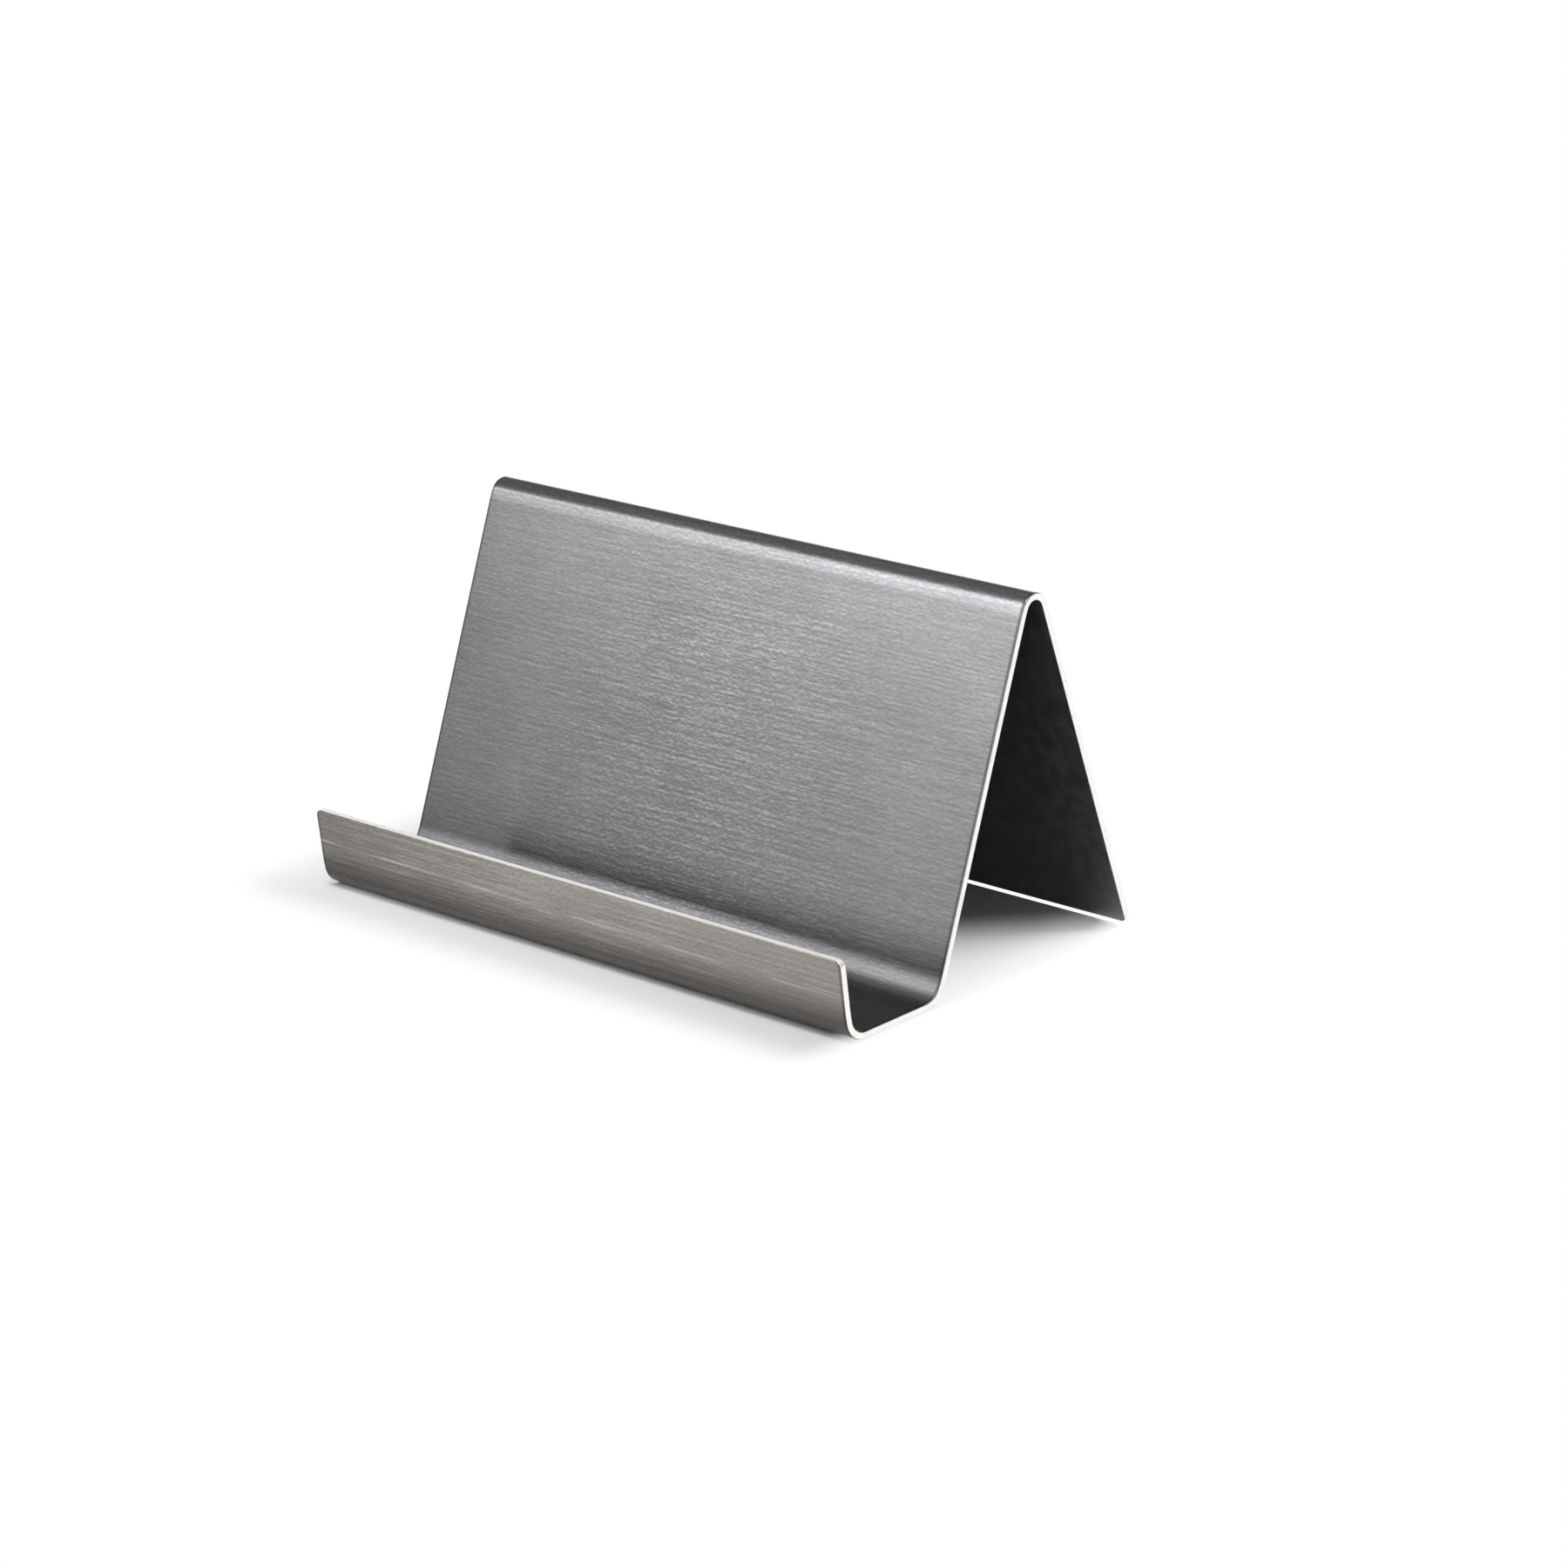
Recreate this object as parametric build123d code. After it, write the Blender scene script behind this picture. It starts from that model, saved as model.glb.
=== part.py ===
from build123d import *
import os
from math import acos, atan2, cos, hypot, radians, tan

# Business card stand folded from one strip of steel sheet, in millimetres.
# X runs across the width, Y from the lip to the leg, Z up from the desk.

# Overall sizes
overall_width = 90.0
overall_depth = 50.0
overall_height = 45.0

# Sheet
sheet_thickness = 0.9
blank_corner_radius = 0.8

# Folds: leans are in degrees from upright, bend radii are on the inside of each bend
lip_height = 10.4
lip_lean = 4.0
tray_depth = 15.5
panel_lean = 22.4
tray_bend_radius = 2.0
ridge_bend_radius = 1.3

lip_slope = tan(radians(lip_lean))
panel_slope = tan(radians(panel_lean))

# The lip's top edge is the foremost line and the leg's outer bottom edge the rearmost
front_y = -overall_depth / 2
rear_y = overall_depth / 2
tray_front_y = front_y + lip_height * lip_slope
tray_back_y = tray_front_y + tray_depth

# Centre of the ridge bend: its crown is at the overall height, and its inside touches the panel
ridge_center_z = overall_height - ridge_bend_radius - sheet_thickness
ridge_center_y = tray_back_y + ridge_center_z * panel_slope + ridge_bend_radius / cos(radians(panel_lean))

# Lean of the leg that brings its outer bottom edge to the overall depth.
# The leg is square cut, so that edge is a slice of the thickness behind the line it stands on,
# and the slice depends on the lean itself: a few rounds settle it.
settling_rounds = 8
ridge_to_rear = rear_y - ridge_center_y
sight_length = hypot(ridge_to_rear, ridge_center_z)
sight_angle = atan2(ridge_center_z, ridge_to_rear)
leg_lean = 0.0
for settling_round in range(settling_rounds):
    inside_offset = ridge_bend_radius + sheet_thickness * cos(leg_lean) ** 2
    leg_lean = acos(inside_offset / sight_length) - sight_angle

foot_y = rear_y - sheet_thickness * cos(leg_lean)
ridge_corner_z = (foot_y - tray_back_y) / (panel_slope + tan(leg_lean))
ridge_corner_y = tray_back_y + ridge_corner_z * panel_slope


def folded_profile():
    # One face of the sheet: front of the lip, underside of the tray, inside of the panel and leg
    outer_bend_radius = tray_bend_radius + sheet_thickness
    sheet_face = FilletPolyline(
        (front_y, lip_height),
        (tray_front_y, 0),
        (tray_back_y, 0),
        (ridge_corner_y, ridge_corner_z),
        (foot_y, 0),
        radius=[outer_bend_radius, outer_bend_radius, ridge_bend_radius],
    )
    return make_face(offset(sheet_face, sheet_thickness, side=Side.LEFT))


def blank_corners(sheet):
    # Each side of the strip ends in two short edges through the thickness: the cut lip and the cut leg
    return [
        edge
        for side_face in sheet.faces().filter_by(Axis.X)
        for edge in side_face.edges().sort_by(SortBy.LENGTH)[:2]
    ]


def folded_sheet():
    sheet = extrude(Plane.YZ * folded_profile(), overall_width / 2, both=True)
    return fillet(blank_corners(sheet), blank_corner_radius)


os.makedirs("parts", exist_ok=True)
export_step(folded_sheet(), "parts/folded_sheet.step")
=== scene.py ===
import bpy
from math import acos, atan2, ceil, cos, hypot, pi, radians, sin, tan
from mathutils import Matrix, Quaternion, Vector


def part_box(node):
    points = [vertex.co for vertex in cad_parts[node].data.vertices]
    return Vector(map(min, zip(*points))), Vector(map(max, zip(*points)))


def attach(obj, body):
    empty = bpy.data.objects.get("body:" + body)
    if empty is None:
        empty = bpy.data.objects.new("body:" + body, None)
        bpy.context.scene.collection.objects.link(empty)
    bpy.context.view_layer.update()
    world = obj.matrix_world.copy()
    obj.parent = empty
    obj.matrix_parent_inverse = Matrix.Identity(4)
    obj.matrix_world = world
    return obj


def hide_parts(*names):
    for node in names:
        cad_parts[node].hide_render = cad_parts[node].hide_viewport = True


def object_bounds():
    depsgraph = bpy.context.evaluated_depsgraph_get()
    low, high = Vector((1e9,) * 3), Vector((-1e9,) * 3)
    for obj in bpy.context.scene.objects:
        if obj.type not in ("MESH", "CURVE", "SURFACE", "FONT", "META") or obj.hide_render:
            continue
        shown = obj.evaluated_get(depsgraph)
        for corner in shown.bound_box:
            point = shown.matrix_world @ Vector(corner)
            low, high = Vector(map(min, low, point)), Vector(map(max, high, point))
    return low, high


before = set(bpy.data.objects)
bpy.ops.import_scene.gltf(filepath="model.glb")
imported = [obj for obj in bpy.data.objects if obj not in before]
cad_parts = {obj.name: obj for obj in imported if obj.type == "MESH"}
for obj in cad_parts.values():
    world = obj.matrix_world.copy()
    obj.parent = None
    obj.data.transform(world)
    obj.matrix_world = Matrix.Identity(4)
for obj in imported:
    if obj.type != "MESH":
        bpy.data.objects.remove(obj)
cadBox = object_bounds()
scene = bpy.context.scene
scene.view_settings.view_transform = "Standard"
mm = 0.001
standRight, standRear = cadBox[1][0], cadBox[1][1]
brushed, cut, bare = 0, 1, 2  # finishes, in the order of the sheet's materials
print("frame loaded")


# one strip of sheet, cut flat, deburred all round and folded three times
sheetPlan = {
    "thickness": 0.9 * mm,
    "cornerRadius": 0.8 * mm,  # free corners of the flat blank
    "rimRound": 0.2 * mm,  # deburred rim on both sides of the cut edge
    "lipHeight": 10.4 * mm,
    "lipLean": radians(4.0),  # leans are from upright
    "trayDepth": 15.5 * mm,
    "panelLean": radians(22.4),
    "trayBend": 2.0 * mm,  # bend radii are on the inside
    "ridgeBend": 1.3 * mm,
    # the flats ease into their bends, by this turn over this length
    "lipEase": (radians(6.0), 1.6 * mm),
    "floorEase": (radians(22.0), 1.8 * mm),  # the tray's floor into its back bend
    "trayEase": (radians(12.0), 2.3 * mm),  # that bend into the panel
    "ridgeEase": (radians(6.0), 1.3 * mm),
    "bareRuns": 3,  # behind the lip's flat, easing and bend the under and inner side isn't brushed
    "brightRings": (2, 1),  # rings of the rim that are as bright as the cut, on the sides and on the two ends
    # how fine the mesh is
    "flatStep": 2.5 * mm,
    "bendStep": radians(5.0),
    "columns": 36,
    "cornerSteps": 6,
    "cornerClear": 1.5,  # rows of the flats keep this many corner radii from the two ends
    "rimSteps": 4,
    "settleRounds": 8,
    "mapReach": 100.0,  # millimetres that the unrolled map takes for one
}


def legLeanFor(plan, ridgeY, ridgeZ, rearY):
    # the square-cut leg puts its outer corner behind the line it stands on, by a slice that depends on the lean
    sightLength = hypot(rearY - ridgeY, ridgeZ)
    sightAngle = atan2(ridgeZ, rearY - ridgeY)
    lean = 0.0
    for settleRound in range(plan["settleRounds"]):
        inside = plan["ridgeBend"] + plan["thickness"] * cos(lean) ** 2
        lean = acos(inside / sightLength) - sightAngle
    return lean


def profileCorners(plan, low, high):
    # corners of the sheet's front and under face, as (y, z), from the lip's top to the leg's foot
    panelSlope = tan(plan["panelLean"])
    trayFront = low.y + plan["lipHeight"] * tan(plan["lipLean"])
    trayBack = trayFront + plan["trayDepth"]
    ridgeZ = high.z - plan["ridgeBend"] - plan["thickness"]
    ridgeY = trayBack + ridgeZ * panelSlope + plan["ridgeBend"] / cos(plan["panelLean"])
    legLean = legLeanFor(plan, ridgeY, ridgeZ, high.y)
    foot = high.y - plan["thickness"] * cos(legLean)
    peakZ = (foot - trayBack) / (panelSlope + tan(legLean))
    return [
        Vector((low.y, plan["lipHeight"])),
        Vector((trayFront, 0.0)),
        Vector((trayBack, 0.0)),
        Vector((trayBack + peakZ * panelSlope, peakZ)),
        Vector((foot, 0.0)),
    ]


def along(heading):
    return Vector((cos(heading), sin(heading)))


def across(heading):
    return Vector((-sin(heading), cos(heading)))  # from the front and under face to the other one


def bendArcs(plan, index, turn):
    # arcs of one bend, as turn and radius on the front and under face, with the easing beside the tight arc
    easeTurn, easeLength = plan[("lipEase", "trayEase", "ridgeEase")[index]]
    trayRadius = plan["trayBend"] + plan["thickness"]
    if index == 0:
        return [(easeTurn, easeLength / easeTurn), (turn - easeTurn, trayRadius)]
    if index == 1:
        floorTurn, floorLength = plan["floorEase"]
        tight = (turn - easeTurn - floorTurn, trayRadius)
        return [(floorTurn, floorLength / floorTurn), tight, (easeTurn, easeLength / easeTurn)]
    return [(-easeTurn, easeLength / easeTurn), (turn + easeTurn, plan["ridgeBend"])]


def bendTrims(arcs):
    # how far before and after the sharp corner the bend begins and ends
    point, heading = Vector((0.0, 0.0)), 0.0
    for turn, radius in arcs:
        reach = radius if turn > 0 else -radius
        point += (across(heading) - across(heading + turn)) * reach
        heading += turn
    return point.x - point.y / tan(heading), point.y / sin(heading)


def foldRuns(plan, corners):
    # flats and bends in order, each with its start, heading and length along the middle of the sheet
    legs = [b - a for a, b in zip(corners, corners[1:])]
    headings = [atan2(leg.y, leg.x) for leg in legs]
    bends = [bendArcs(plan, i, b - a) for i, (a, b) in enumerate(zip(headings, headings[1:]))]
    trims = [bendTrims(arcs) for arcs in bends]
    before = [0.0] + [after for ahead, after in trims]
    behind = [ahead for ahead, after in trims] + [0.0]
    runs = []
    point = corners[0].copy()
    for i, leg in enumerate(legs):
        heading = headings[i]
        flat = leg.length - before[i] - behind[i]
        runs.append({"start": point.copy(), "heading": heading, "turn": 0.0, "length": flat})
        point += along(heading) * flat
        for turn, radius in bends[i] if i < len(bends) else []:
            reach = radius if turn > 0 else -radius
            center = point + across(heading) * reach
            middle = abs(reach - plan["thickness"] / 2)
            runs.append({
                "center": center, "heading": heading, "turn": turn, "reach": reach,
                "length": middle * abs(turn),
            })
            heading += turn
            point = center - across(heading) * reach
    return runs


def foldAt(runs, distance, depth):
    # a point of the flat blank, folded: its (y, z) and the sheet's heading there
    for run in runs:
        if distance <= run["length"] or run is runs[-1]:
            break
        distance -= run["length"]
    heading = run["heading"] + run["turn"] * distance / run["length"]
    if run["turn"]:
        return run["center"] + across(heading) * (depth - run["reach"]), heading
    return run["start"] + along(heading) * distance + across(heading) * depth, heading


def stripStations(plan, runs):
    # distances along the strip, between its two ends' rounded corners, where a row of the mesh lies
    total = sum(run["length"] for run in runs)
    clear = plan["cornerRadius"] * plan["cornerClear"]
    stations = []
    start = 0.0
    for run in runs:
        steps = max(ceil(abs(run["turn"]) / plan["bendStep"]), ceil(run["length"] / plan["flatStep"]))
        stations += [start + run["length"] * i / steps for i in range(steps)]
        start += run["length"]
    return [s for s in stations if clear < s < total - clear], total


def blankRows(plan, runs, width):
    # rows of the inset face: distance along the strip, half width, and the outward direction at its right end
    radius, inset = plan["cornerRadius"], plan["rimRound"]
    stations, total = stripStations(plan, runs)
    arc = [pi / 2 * i / plan["cornerSteps"] for i in range(plan["cornerSteps"] + 1)]
    rows = []
    for turn in arc:
        half = width / 2 - radius + (radius - inset) * sin(turn)
        rows.append((radius - (radius - inset) * cos(turn), half, Vector((sin(turn), -cos(turn)))))
    rows += [(s, width / 2 - inset, Vector((1, 0))) for s in stations]
    rows += [(total - s, half, Vector((out.x, -out.y))) for s, half, out in reversed(rows[:len(arc)])]
    return rows


def rowOutline(rows, columns):
    # outward direction at each point round the inset face, from the lip's left end on
    rightOuts = [out for s, half, out in rows]
    leftOuts = [Vector((-out.x, out.y)) for out in rightOuts]
    headOuts = [Vector((0, -1))] * (columns + 1)
    footOuts = [Vector((0, 1))] * columns
    return headOuts + rightOuts[1:] + footOuts + leftOuts[-2:0:-1]


def makeSheet(plan, node):
    low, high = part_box(node)
    low, high = Vector(low), Vector(high)
    runs = foldRuns(plan, profileCorners(plan, low, high))
    rows = blankRows(plan, runs, high.x - low.x)
    bareFrom = sum(run["length"] for run in runs[:plan["bareRuns"]])
    thickness, rim, columns = plan["thickness"], plan["rimRound"], plan["columns"]
    points, normals, flats, faces, finishes = [], [], [], [], []

    def addPoint(x, s, depth, outX, outS, lift):
        # lift is the normal's share through the sheet: -1 on the front and under face, 1 on the other
        place, heading = foldAt(runs, s, depth)
        tangent, up = along(heading), across(heading)
        points.append((x, place.x, place.y))
        normals.append((outX, outS * tangent.x + lift * up.x, outS * tangent.y + lift * up.y))
        flats.append((x / mm, s / mm, depth / mm))
        return len(points) - 1

    def addFace(depth, lift):
        shares = [2 * j / columns - 1 for j in range(columns + 1)]
        grid = [[addPoint(half * share, s, depth, 0, 0, lift) for share in shares] for s, half, out in rows]
        for (s, half, out), a, b in zip(rows, grid, grid[1:]):
            for j in range(columns):
                quad = (a[j], a[j + 1], b[j + 1], b[j])
                faces.append(quad if lift > 0 else quad[::-1])
                finishes.append(bare if lift < 0 and s > bareFrom else brushed)
        right = [row[-1] for row in grid]
        left = [row[0] for row in grid]
        return grid[0] + right[1:] + grid[-1][-2::-1] + left[-2:0:-1]

    # both faces, then the rim round them: up the lower rounding, across the cut and up the upper rounding
    lower = addFace(0.0, -1)
    upper = addFace(thickness, 1)
    outline = rowOutline(rows, columns)
    flatOutline = [Vector(flats[i][:2]) * mm for i in lower]
    turns = [pi / 2 * i / plan["rimSteps"] for i in range(1, plan["rimSteps"] + 1)]
    levels = [(turn, rim * (1 - cos(turn)), -1) for turn in turns]
    levels += [(turn, thickness - rim * (1 - cos(turn)), 1) for turn in reversed(turns)]
    rings = [lower]
    for turn, depth, side in levels:
        reach = rim * sin(turn)
        rings.append([
            addPoint(flat.x + out.x * reach, flat.y + out.y * reach, depth,
                     out.x * sin(turn), out.y * sin(turn), side * cos(turn))
            for flat, out in zip(flatOutline, outline)
        ])
    rings.append(upper)
    for ring, (a, b) in enumerate(zip(rings, rings[1:])):
        fromCut = abs(ring - plan["rimSteps"])
        for j in range(len(a)):
            k = (j + 1) % len(a)
            faces.append((a[j], a[k], b[k], b[j]))
            onEnd = int(abs(outline[j].x) < 0.5)  # the edge faces along the strip more than across it
            finishes.append(cut if fromCut <= plan["brightRings"][onEnd] else brushed)

    mesh = bpy.data.meshes.new("foldedSheet")
    mesh.from_pydata(points, [], faces)
    mesh.polygons.foreach_set("use_smooth", [True] * len(faces))
    mesh.polygons.foreach_set("material_index", finishes)
    blank = mesh.attributes.new("blank", "FLOAT_VECTOR", "POINT")
    blank.data.foreach_set("vector", [value for flat in flats for value in flat])
    unrolled = mesh.uv_layers.new(name="unrolled")  # u along the strip, v along the grain
    for loop in mesh.loops:
        x, s, depth = flats[loop.vertex_index]
        unrolled.data[loop.index].uv = (s / plan["mapReach"], x / plan["mapReach"])
    mesh.normals_split_custom_set_from_vertices(normals)
    sheet = bpy.data.objects.new("folded_sheet_brushed", mesh)
    scene.collection.objects.link(sheet)
    print("sheet folded:", len(points), "points,", len(faces), "faces")
    return sheet


class Nodes:
    # short hand for wiring a node tree
    rowStep, rowStart = 7.31, 0.37  # keep the rows of streaks apart in the noise

    def __init__(self, owner):
        owner.use_nodes = True
        self.tree = owner.node_tree
        self.tree.nodes.clear()

    def add(self, kind, inputs=(), **settings):
        node = self.tree.nodes.new(kind)
        for key, value in settings.items():
            setattr(node, key, value)
        for key, value in dict(inputs).items():
            if isinstance(value, bpy.types.NodeSocket):
                self.tree.links.new(value, node.inputs[key])
            else:
                node.inputs[key].default_value = value
        return node

    def math(self, operation, *values):
        return self.add("ShaderNodeMath", dict(enumerate(values)), operation=operation).outputs[0]

    def product(self, value, *others):
        for other in others:
            value = self.math("MULTIPLY", value, other)
        return value

    def vector(self, operation, *values):
        return self.add("ShaderNodeVectorMath", dict(enumerate(values)), operation=operation).outputs[0]

    def scaled(self, tone, level):
        return self.add("ShaderNodeVectorMath", {0: tone, "Scale": level}, operation="SCALE").outputs[0]

    def split(self, vector):
        return self.add("ShaderNodeSeparateXYZ", {0: vector}).outputs

    def remap(self, value, start, end, first=0.0, last=1.0):
        return self.add("ShaderNodeMapRange", {
            "Value": value, "From Min": start, "From Max": end, "To Min": first, "To Max": last,
        }).outputs[0]

    def within(self, value, entry, leave):
        # rises over one stretch and falls over another
        return self.math("MULTIPLY", self.remap(value, *entry), self.remap(value, *leave, 1.0, 0.0))

    def smooth(self, value):
        return self.add("ShaderNodeMapRange", {"Value": value}, interpolation_type="SMOOTHSTEP").outputs[0]

    def blend(self, factor, a, b):
        return self.add("ShaderNodeMix", {"Factor": factor, 2: a, 3: b}).outputs[0]

    def tint(self, factor, a, b):
        return self.add("ShaderNodeMix", {"Factor": factor, 6: a, 7: b}, data_type="RGBA").outputs[2]

    def noise(self, place, repeats, detail):
        spot = self.vector("MULTIPLY", place, repeats)
        return self.add("ShaderNodeTexNoise", {"Vector": spot, "Scale": 1.0, "Detail": detail}).outputs["Fac"]

    def streaks(self, place, repeats):
        # marks that run along the grain, each row of them with its own pattern
        spot = self.split(self.vector("MULTIPLY", place, repeats))
        row = self.math("MULTIPLY_ADD", self.math("FLOOR", spot["Y"]), self.rowStep, self.rowStart)
        inRow = self.add("ShaderNodeCombineXYZ", {0: spot["X"], 1: row, 2: spot["Z"]}).outputs[0]
        return self.add("ShaderNodeTexNoise", {"Vector": inRow, "Scale": 1.0, "Detail": 0.0}).outputs["Fac"]

    def bump(self, height, distance):
        return self.add("ShaderNodeBump", {"Height": height, "Strength": 1.0, "Distance": distance}).outputs[0]

    def onBlank(self):
        # place on the flat blank, whole and split: across the width, along the strip, through the sheet
        blank = self.add("ShaderNodeAttribute", attribute_name="blank").outputs["Vector"]
        return blank, self.split(blank)

    def steel(self, shade, rough, inputs=()):
        metal = {"Base Color": shade, "Metallic": 1.0, "Roughness": rough}
        metal.update(inputs)
        surface = self.add("ShaderNodeBsdfPrincipled", metal).outputs[0]
        self.add("ShaderNodeOutputMaterial", {"Surface": surface})


# places on the blank are in millimetres, along the strip from the lip's top and across it from the middle
grainPlan = {
    "tone": (0.307, 0.303, 0.313, 1),
    "lipTone": (0.329, 0.310, 0.291, 1),
    "lipEnds": (9.0, 15.0),  # where the warm tone of the lip begins and stops to fade
    "lipPaintedShade": ((-45.0, -5.0), (0.64, 1.0)),  # painted shade: the lip is darker towards its left end, standing in for a darker reflection there
    "paintedShade": ((4.5, 9.0), (21.5, 33.0)),  # painted shade, from the lip's foot to the tray's back, for the dark paper and panel that the lip's bend and the tray mirror
    "paintedShadeTones": ((11.0, 20.0), (0.22, 0.42)),  # the painted shade is darkest at the lip's foot
    "bend": ((21.0, 23.4), (24.6, 26.6)),  # the tray's back bend is rougher, and lighter by a painted highlight band
    "bendDrop": ((8.0, 45.0), (0.0, 0.75)),  # and its painted highlight band lies lower towards the right end
    "bendRoughness": 0.33,
    # painted highlight: how much lighter the bend's colour is, for the bright room it mirrors above
    "bendPaintedHighlight": 1.7,
    "shoulder": ((0.52, 0.34), (1.0, 0.52)),  # from the cut, where the colour is darker along both sides
    "roughness": (0.165, 0.19),  # of the ground and of the light dashes in it
    "roughSpan": (0.4, 0.7),
    "anisotropic": 0.95,
    "bump": 0.0012 * mm,
    # three kinds of marks: repeats per millimetre, and how far they swing on the panel and on the lip
    "grit": (1.6, 6.9, 3.0),
    "gritSwing": (0.235, 0.125),
    "dash": (0.35, 5.9, 3.0),
    "dashSwing": (0.095, 0.07),
    "hairline": (0.035, 5.1, 3.0),
    "hairlineSwing": (0.15, 0.14),
    "markSpan": (0.3, 0.7),
    "furrow": (0.32, 0.30),  # from each mark to the furrows on both sides of it, and their depth
    "spark": 0.9,  # the light marks stand out more than the dark ones
    "clear": ((6.0, 32.0), (1.0, 0.42)),  # the panel's marks are clearest in its middle
    "lipClear": ((5.0, 40.0), (1.0, 0.6)),  # the lip's are fainter towards its right end
    "legClear": ((58.0, 72.0), 0.5),  # towards the ridge and down the leg they are even
    "cloud": (0.10, 0.14, 3.0),
    "cloudLevels": (0.96, 1.04),
    # fewer, broader strokes low on the lip
    "stroke": (0.12, 3.2, 3.0),
    "strokeEnds": ((2.0, 3.5), (6.5, 8.0)),
    "strokeSpan": (0.56, 0.74),
    "strokeLight": 0.24,
    # one long scratch on the lip: its place, its slant and half its breadth
    "scratch": (4.4, 0.008, 0.12),
    "scratchSpan": (0.40, 0.60),
    "scratchLight": 0.4,
}


def brushMarks(n, plan, blank):
    # each kind of mark, less the furrows beside it
    step, depth = plan["furrow"]
    marks = {}
    for kind in ("grit", "dash", "hairline"):
        mark = n.math("ADD", n.streaks(blank, plan[kind]), depth / 2)
        for shift in (-step, step):
            furrow = n.streaks(n.vector("ADD", blank, (0.0, shift, 0.0)), plan[kind])
            mark = n.math("MULTIPLY_ADD", furrow, -depth / 2, mark)
        marks[kind] = mark
    return marks


def markClearness(n, plan, place, onLip):
    ends, levels = plan["clear"]
    clear = n.remap(n.math("ABSOLUTE", place["X"]), *ends, *levels)
    ends, levels = plan["lipClear"]
    clear = n.blend(onLip, clear, n.remap(place["X"], *ends, *levels))
    ends, level = plan["legClear"]
    return n.blend(n.remap(place["Y"], *ends), clear, level)


def markLevel(n, plan, marks, clear, onLip):
    # all marks together, as lightness round one
    swing = 0.0
    for kind, mark in marks.items():
        reach = n.blend(onLip, *plan[kind + "Swing"])
        swing = n.math("MULTIPLY_ADD", n.remap(mark, *plan["markSpan"], -1.0, 1.0), reach, swing)
    swing = n.math("MULTIPLY", swing, clear)
    swing = n.math("MULTIPLY", swing, n.math("MULTIPLY_ADD", swing, plan["spark"], 1.0))
    return n.math("ADD", swing, 1.0)


def lipStrokes(n, plan, blank, place, clear):
    # light strokes, and a scratch that breaks up along its length
    stroke = n.remap(n.streaks(blank, plan["stroke"]), *plan["strokeSpan"], 0.0, plan["strokeLight"])
    stroke = n.product(stroke, n.within(place["Y"], *plan["strokeEnds"]), clear)
    middle, slant, half = plan["scratch"]
    line = n.math("MULTIPLY_ADD", place["X"], slant, middle)
    distance = n.math("ABSOLUTE", n.math("SUBTRACT", place["Y"], line))
    breaks = n.noise(blank, plan["stroke"], 0.0)
    light = n.remap(breaks, *plan["scratchSpan"], 0.0, plan["scratchLight"])
    scratch = n.math("MULTIPLY", n.remap(distance, half, half * 2, 1.0, 0.0), light)
    return n.math("ADD", stroke, scratch)


def hairlineSteel(plan):
    material = bpy.data.materials.new("hairlineSteel")
    n = Nodes(material)
    blank, place = n.onBlank()
    marks = brushMarks(n, plan, blank)
    onLip = n.remap(place["Y"], *plan["lipEnds"], 1.0, 0.0)
    clear = markClearness(n, plan, place, onLip)

    # the brushing
    level = markLevel(n, plan, marks, clear, onLip)
    cloud = n.remap(n.noise(blank, plan["cloud"], 1.0), *plan["markSpan"], *plan["cloudLevels"])
    # painted shade towards the lip's left end
    ends, levels = plan["lipPaintedShade"]
    lipPaintedShadeLevel = n.blend(onLip, 1.0, n.remap(place["X"], *ends, *levels))
    level = n.product(level, cloud, lipPaintedShadeLevel)
    level = n.math("ADD", level, lipStrokes(n, plan, blank, place, clear))

    # painted shade from the lip's foot to the tray's back, a painted highlight band on the tray's back bend,
    # and the darker strips along both sides
    ends, levels = plan["paintedShadeTones"]
    paintedShade = n.within(place["Y"], *plan["paintedShade"])
    paintedShadeLevel = n.blend(paintedShade, 1.0, n.remap(place["Y"], *ends, *levels))
    ends, drop = plan["bendDrop"]
    lowered = n.math("ADD", place["Y"], n.remap(place["X"], *ends, *drop))
    inBend = n.within(lowered, *plan["bend"])
    # painted highlight band on the tray's back bend
    bendHighlightLevel = n.blend(inBend, 1.0, plan["bendPaintedHighlight"])
    ends, levels = plan["shoulder"]
    fromSide = n.math("SUBTRACT", standRight / mm, n.math("ABSOLUTE", place["X"]))
    level = n.product(level, paintedShadeLevel, bendHighlightLevel, n.remap(fromSide, *ends, *levels))

    shade = n.scaled(n.tint(onLip, plan["tone"], plan["lipTone"]), level)
    rough = n.blend(n.remap(marks["dash"], *plan["roughSpan"]), *plan["roughness"])
    rough = n.blend(inBend, rough, plan["bendRoughness"])
    tangent = n.add("ShaderNodeTangent", direction_type="UV_MAP", uv_map="unrolled").outputs[0]
    n.steel(shade, rough, {
        "Normal": n.bump(n.math("ADD", marks["dash"], marks["hairline"]), plan["bump"]),
        "Tangent": tangent, "Anisotropic": plan["anisotropic"],
    })
    return material


edgePlan = {
    # the cut's colour is near white, lighter than bare steel: its own bright finish, and in part a painted
    # highlight
    "tone": (0.985, 0.975, 0.945),
    "endRoughness": 0.75,  # ground ends of the strip: the lip's top and the leg's foot
    "sideRoughness": 0.2,  # smooth sheared sides
    "sideReach": 0.1,  # millimetres over which a corner changes from one to the other
    "grain": (1.5, 1.5, 5.0),
    "grainSpan": (0.35, 0.65),
    "grainLevels": (0.93, 1.03),
}


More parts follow.
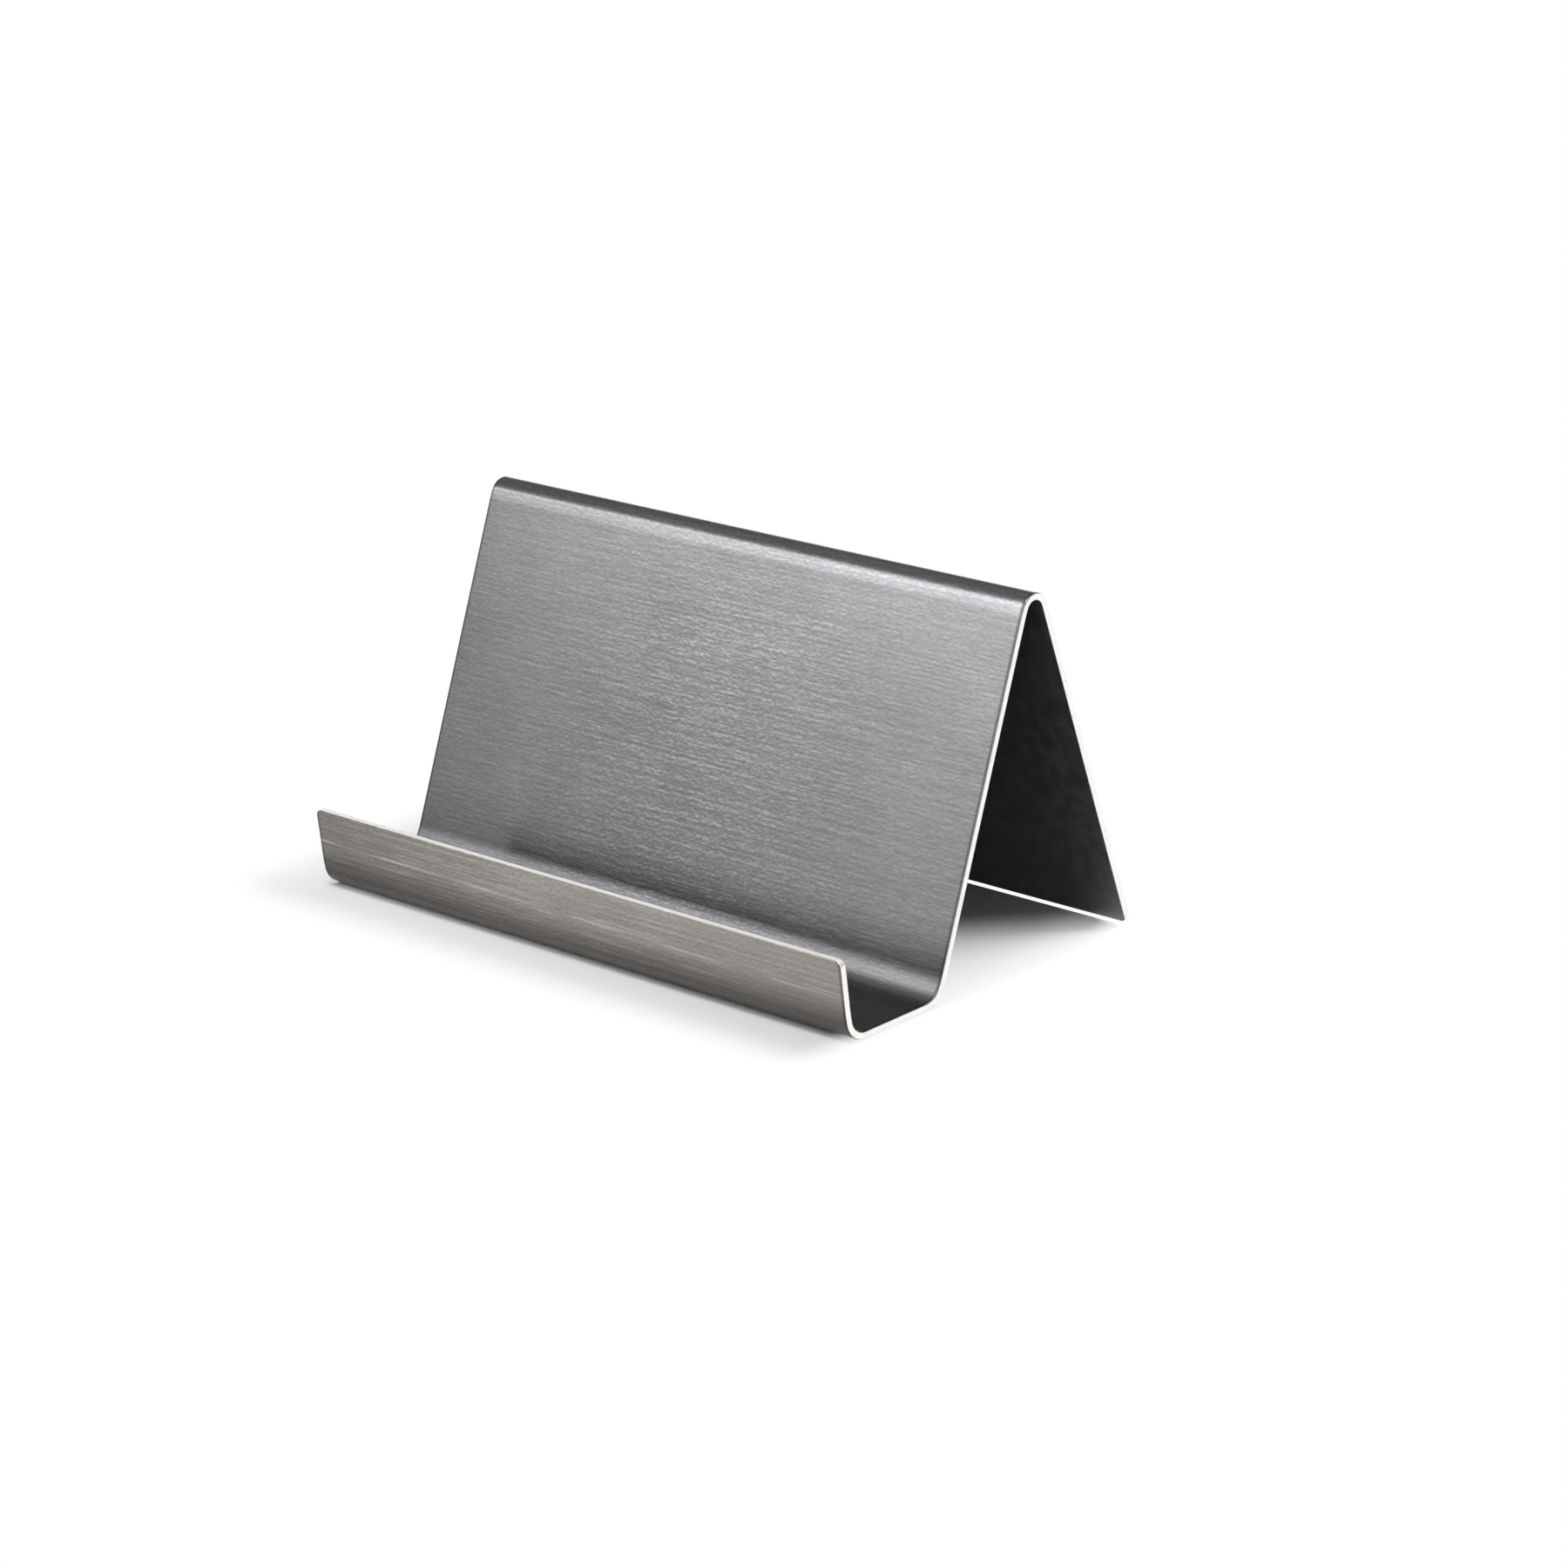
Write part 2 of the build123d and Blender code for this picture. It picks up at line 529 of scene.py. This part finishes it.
def cutEdgeSteel(plan):
    material = bpy.data.materials.new("cutEdgeSteel")
    n = Nodes(material)
    blank, place = n.onBlank()
    side = standRight / mm
    onSide = n.remap(n.math("ABSOLUTE", place["X"]), side - plan["sideReach"], side)
    rough = n.blend(onSide, plan["endRoughness"], plan["sideRoughness"])
    grain = n.remap(n.noise(blank, plan["grain"], 1.0), *plan["grainSpan"], *plan["grainLevels"])
    # near-white colour of the cut, in part a painted highlight
    n.steel(n.scaled(plan["tone"], grain), rough)
    return material


# rolled side of the sheet, as it left the mill
millPlan = {
    "tone": (0.345, 0.345, 0.355),
    "roughness": (0.50, 0.58),
    "ends": ((26.0, 44.0), (1.0, 0.58)),  # painted shade: darker towards both ends of the bare side, for the dark inside of the stand
    "mottle": (0.5, 0.4, 3.0),
    "mottleSpan": (0.35, 0.65),
    "mottleLevels": (0.95, 1.05),
    "bump": 0.003 * mm,
}


def millSteel(plan):
    material = bpy.data.materials.new("millSteel")
    n = Nodes(material)
    blank, place = n.onBlank()
    mottle = n.noise(blank, plan["mottle"], 3.0)
    # painted shade towards both ends of the bare side
    ends, levels = plan["ends"]
    endPaintedShade = n.remap(n.math("ABSOLUTE", place["X"]), *ends, *levels)
    level = n.product(n.remap(mottle, *plan["mottleSpan"], *plan["mottleLevels"]), endPaintedShade)
    rough = n.remap(mottle, *plan["mottleSpan"], *plan["roughness"])
    n.steel(n.scaled(plan["tone"], level), rough, {"Normal": n.bump(mottle, plan["bump"])})
    return material


sheet = makeSheet(sheetPlan, "folded_sheet")
sheet.data.materials.append(hairlineSteel(grainPlan))
sheet.data.materials.append(cutEdgeSteel(edgePlan))
sheet.data.materials.append(millSteel(millPlan))
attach(sheet, "root")
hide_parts("folded_sheet")
print("steel on")


# pale paper, seen as plain white away from the stand
floorPlan = {
    "size": 8.0,
    "tone": (0.64, 0.64, 0.64, 1),
    "roughness": 0.9,
    # stretch that keeps the stand's shade, from the footprint, and how far it takes to turn plain white
    "shadeLow": (-2.0 * mm, -1.0 * mm, 0.0),
    "shadeHigh": (-5.0 * mm, 0.0, 0.0),
    "fadeLow": (12.0 * mm, 8.5 * mm, 1.0),
    "fadeHigh": (6.5 * mm, 7.0 * mm, 1.0),
    "rearNarrow": 2.0,  # the shade behind the leg is narrower with the distance from it
    "mirrorDelay": 0.6,  # the steel mirrors the shade in front of it this share of a fade further out
    # painted light: a white line on the paper along the leg's foot, from the footprint's rear and from the
    # middle
    "paintedFootLight": (-1.6 * mm, -0.4 * mm),
    "footStart": 15.0 * mm,
    # painted soft edge of the shade under the ridge, white for the camera only, slantwise from the leg's right
    # foot corner and wider away from it
    "edgeCorner": -2.3 * mm,  # from the footprint's rear
    "edgeWiden": 2.2,
    "edgeLeast": 0.5 * mm,
    "edgeDeep": 30.0 * mm,  # reach into the shade
    "edgeLevel": 0.36,
    "edgeFront": (-16.0 * mm, -9.0 * mm),
}


def shadeAway(n, plan, place, fromCorner, mirrored):
    # none on the stretch that keeps the shade, one where the paper is plain white
    low = tuple(Vector(cadBox[0]) + Vector(plan["shadeLow"]))
    high = tuple(Vector(cadBox[1]) + Vector(plan["shadeHigh"]))
    below = n.vector("DIVIDE", n.vector("SUBTRACT", low, place), plan["fadeLow"])
    below = n.vector("SUBTRACT", below, n.math("MULTIPLY", mirrored, plan["mirrorDelay"]))
    narrowed = n.math("MULTIPLY", n.math("MAXIMUM", fromCorner["Y"], 0.0), plan["rearNarrow"])
    aside = n.add("ShaderNodeCombineXYZ", {0: narrowed}).outputs[0]
    above = n.vector("DIVIDE", n.vector("SUBTRACT", n.vector("ADD", place, aside), high), plan["fadeHigh"])
    outside = n.vector("MAXIMUM", n.vector("MAXIMUM", below, above), (0.0, 0.0, 0.0))
    distance = n.add("ShaderNodeVectorMath", {0: outside}, operation="LENGTH").outputs["Value"]
    return n.smooth(distance)


def paintedFootLight(n, plan, spot):
    # painted light: a white strip on the paper along the leg's foot, for the camera
    front, back = plan["paintedFootLight"]
    return n.product(
        n.math("GREATER_THAN", spot["Y"], standRear + front),
        n.math("LESS_THAN", spot["Y"], standRear + back),
        n.math("GREATER_THAN", spot["X"], plan["footStart"]),
        n.math("LESS_THAN", spot["X"], standRight),
    )


def paintedRidgeShadeEdge(n, plan, spot, fromCorner):
    # painted shade edge: the paper turns white for the camera on one side of a slanted line
    outward = n.math("SUBTRACT", fromCorner["X"], fromCorner["Y"])
    widened = n.math("MULTIPLY", fromCorner["Y"], -plan["edgeWiden"])
    widened = n.math("MAXIMUM", widened, plan["edgeLeast"])
    lit = n.math("DIVIDE", n.math("MAXIMUM", outward, 0.0), widened)
    lit = n.math("ADD", lit, n.math("DIVIDE", n.math("MINIMUM", outward, 0.0), plan["edgeDeep"]))
    lit = n.math("ADD", lit, plan["edgeLevel"])
    return n.product(n.smooth(lit), n.remap(spot["Y"], *plan["edgeFront"]))


def palePaper(plan):
    material = bpy.data.materials.new("palePaper")
    n = Nodes(material)
    place = n.add("ShaderNodeTexCoord").outputs["Object"]
    spot = n.split(place)
    corner = (standRight, standRear + plan["edgeCorner"], 0.0)
    fromCorner = n.split(n.vector("SUBTRACT", place, corner))
    rays = n.add("ShaderNodeLightPath").outputs
    seen = n.math("MAXIMUM", rays["Is Camera Ray"], rays["Is Glossy Ray"])
    seen = n.math("MAXIMUM", seen, rays["Is Transmission Ray"])
    plain = n.math("MULTIPLY", shadeAway(n, plan, place, fromCorner, rays["Is Glossy Ray"]), seen)
    # painted light for the camera: the line at the leg's foot and the edge of the shade under the ridge
    bright = n.math("MAXIMUM", paintedFootLight(n, plan, spot), paintedRidgeShadeEdge(n, plan, spot, fromCorner))
    share = n.math("MAXIMUM", plain, n.math("MULTIPLY", bright, rays["Is Camera Ray"]))
    paper = n.add("ShaderNodeBsdfPrincipled", {
        "Base Color": plan["tone"], "Roughness": plan["roughness"], "Specular IOR Level": 0.0,
    })
    white = n.add("ShaderNodeEmission", {"Color": (1, 1, 1, 1), "Strength": 1.0})
    mixed = n.add("ShaderNodeMixShader", {0: share, 1: paper.outputs[0], 2: white.outputs[0]})
    n.add("ShaderNodeOutputMaterial", {"Surface": mixed.outputs[0]})
    return material


def layFloor(plan):
    half = plan["size"] / 2
    corners = [(-half, -half, 0), (half, -half, 0), (half, half, 0), (-half, half, 0)]
    mesh = bpy.data.meshes.new("studioFloor")
    mesh.from_pydata(corners, [], [(0, 1, 2, 3)])
    mesh.materials.append(palePaper(plan))
    floor = bpy.data.objects.new("studio_floor", mesh)
    scene.collection.objects.link(floor)
    print("paper laid")


layFloor(floorPlan)


roomPlan = {"low": 0.06, "high": 0.36}  # dim room, lighter overhead than at the height of the table
# lamps and reflectors, with what each of them reaches
lampPlans = {
    "overheadSoftbox": {
        "place": (0.12, -0.35, 1.24), "size": (0.42, 0.42), "watts": 9.5, "spread": radians(180),
        "reaches": ("paper", "steel"),
    },
    "sideDiffuser": {
        "place": (-0.265, -0.235, 0.17), "size": (0.29, 0.34), "watts": 0.1614, "spread": radians(115),
        "reaches": ("paper", "steel"),
    },
    "sideBulb": {
        "place": (-0.225, -0.20, 0.203), "size": (0.21, 0.15), "watts": 0.1512, "spread": radians(115),
        "reaches": ("paper", "steel"),
    },
    "frontFill": {
        "place": (-0.05, -0.22, 0.185), "size": (0.15, 0.30), "watts": 0.16, "spread": radians(115),
        "reaches": ("paper",),
    },
    "frontReflector": {
        "place": (0.4725, -0.6, 0.15), "size": (1.445, 0.30), "watts": 1.226, "spread": radians(180),
        "reaches": ("steel",),
    },
    "frontHighReflector": {
        "place": (0.125, -0.6, 0.46), "size": (0.75, 0.40), "watts": 0.848, "spread": radians(180),
        "reaches": ("steel",),
    },
    "rearReflector": {
        "place": (-0.1, 0.6, 0.075), "size": (2.0, 0.15), "watts": 1.13, "spread": radians(180),
        "reaches": ("steel",),
    },
}


def lightRoom(plan):
    world = bpy.data.worlds.new("softRoom")
    scene.world = world
    n = Nodes(world)
    sky = n.split(n.add("ShaderNodeTexCoord").outputs["Generated"])
    level = n.remap(sky["Z"], 0.0, 1.0, plan["low"], plan["high"])
    rays = n.add("ShaderNodeLightPath").outputs
    level = n.blend(rays["Is Camera Ray"], level, 1.0)  # plain white behind the stand
    light = n.add("ShaderNodeBackground", {"Color": (1, 1, 1, 1), "Strength": level})
    n.add("ShaderNodeOutputWorld", {"Surface": light.outputs[0]})


def hangLamp(name, plan):
    # each lamp lies along the width of the stand and is tilted towards it
    data = bpy.data.lights.new(name, "AREA")
    data.shape = "RECTANGLE"
    data.size, data.size_y = plan["size"]
    data.energy = plan["watts"]
    data.spread = plan["spread"]
    lamp = bpy.data.objects.new(name, data)
    lamp.location = plan["place"]
    lamp.rotation_euler = (atan2(-plan["place"][1], plan["place"][2]), 0, 0)
    lamp.visible_camera = False
    lamp.visible_diffuse = "paper" in plan["reaches"]
    lamp.visible_glossy = "steel" in plan["reaches"]
    scene.collection.objects.link(lamp)


lightRoom(roomPlan)
for lampName, lampPlan in lampPlans.items():
    hangLamp(lampName, lampPlan)
print("lamps hung")


cameraPlan = {
    "azimuth": radians(45.099),
    "elevation": radians(19.013),
    "roll": radians(3.361),
    "aim": (7.383 * mm, 5.235 * mm, 15.546 * mm),
    "distance": 630.17 * mm,
    "lens": 119.3,
    "sensor": 36.0,
}


def placeCamera(plan):
    flat = cos(plan["elevation"])
    back = Vector((sin(plan["azimuth"]) * flat, -cos(plan["azimuth"]) * flat, sin(plan["elevation"])))
    data = bpy.data.cameras.new("tableCamera")
    data.sensor_width = plan["sensor"]
    data.lens = plan["lens"]
    camera = bpy.data.objects.new("tableCamera", data)
    camera.location = Vector(plan["aim"]) + back * plan["distance"]
    turned = back.to_track_quat("Z", "Y") @ Quaternion((0, 0, 1), -plan["roll"])
    camera.rotation_euler = turned.to_euler()
    scene.collection.objects.link(camera)
    scene.camera = camera


placeCamera(cameraPlan)
print("studio ready")

bpy.context.view_layer.update()
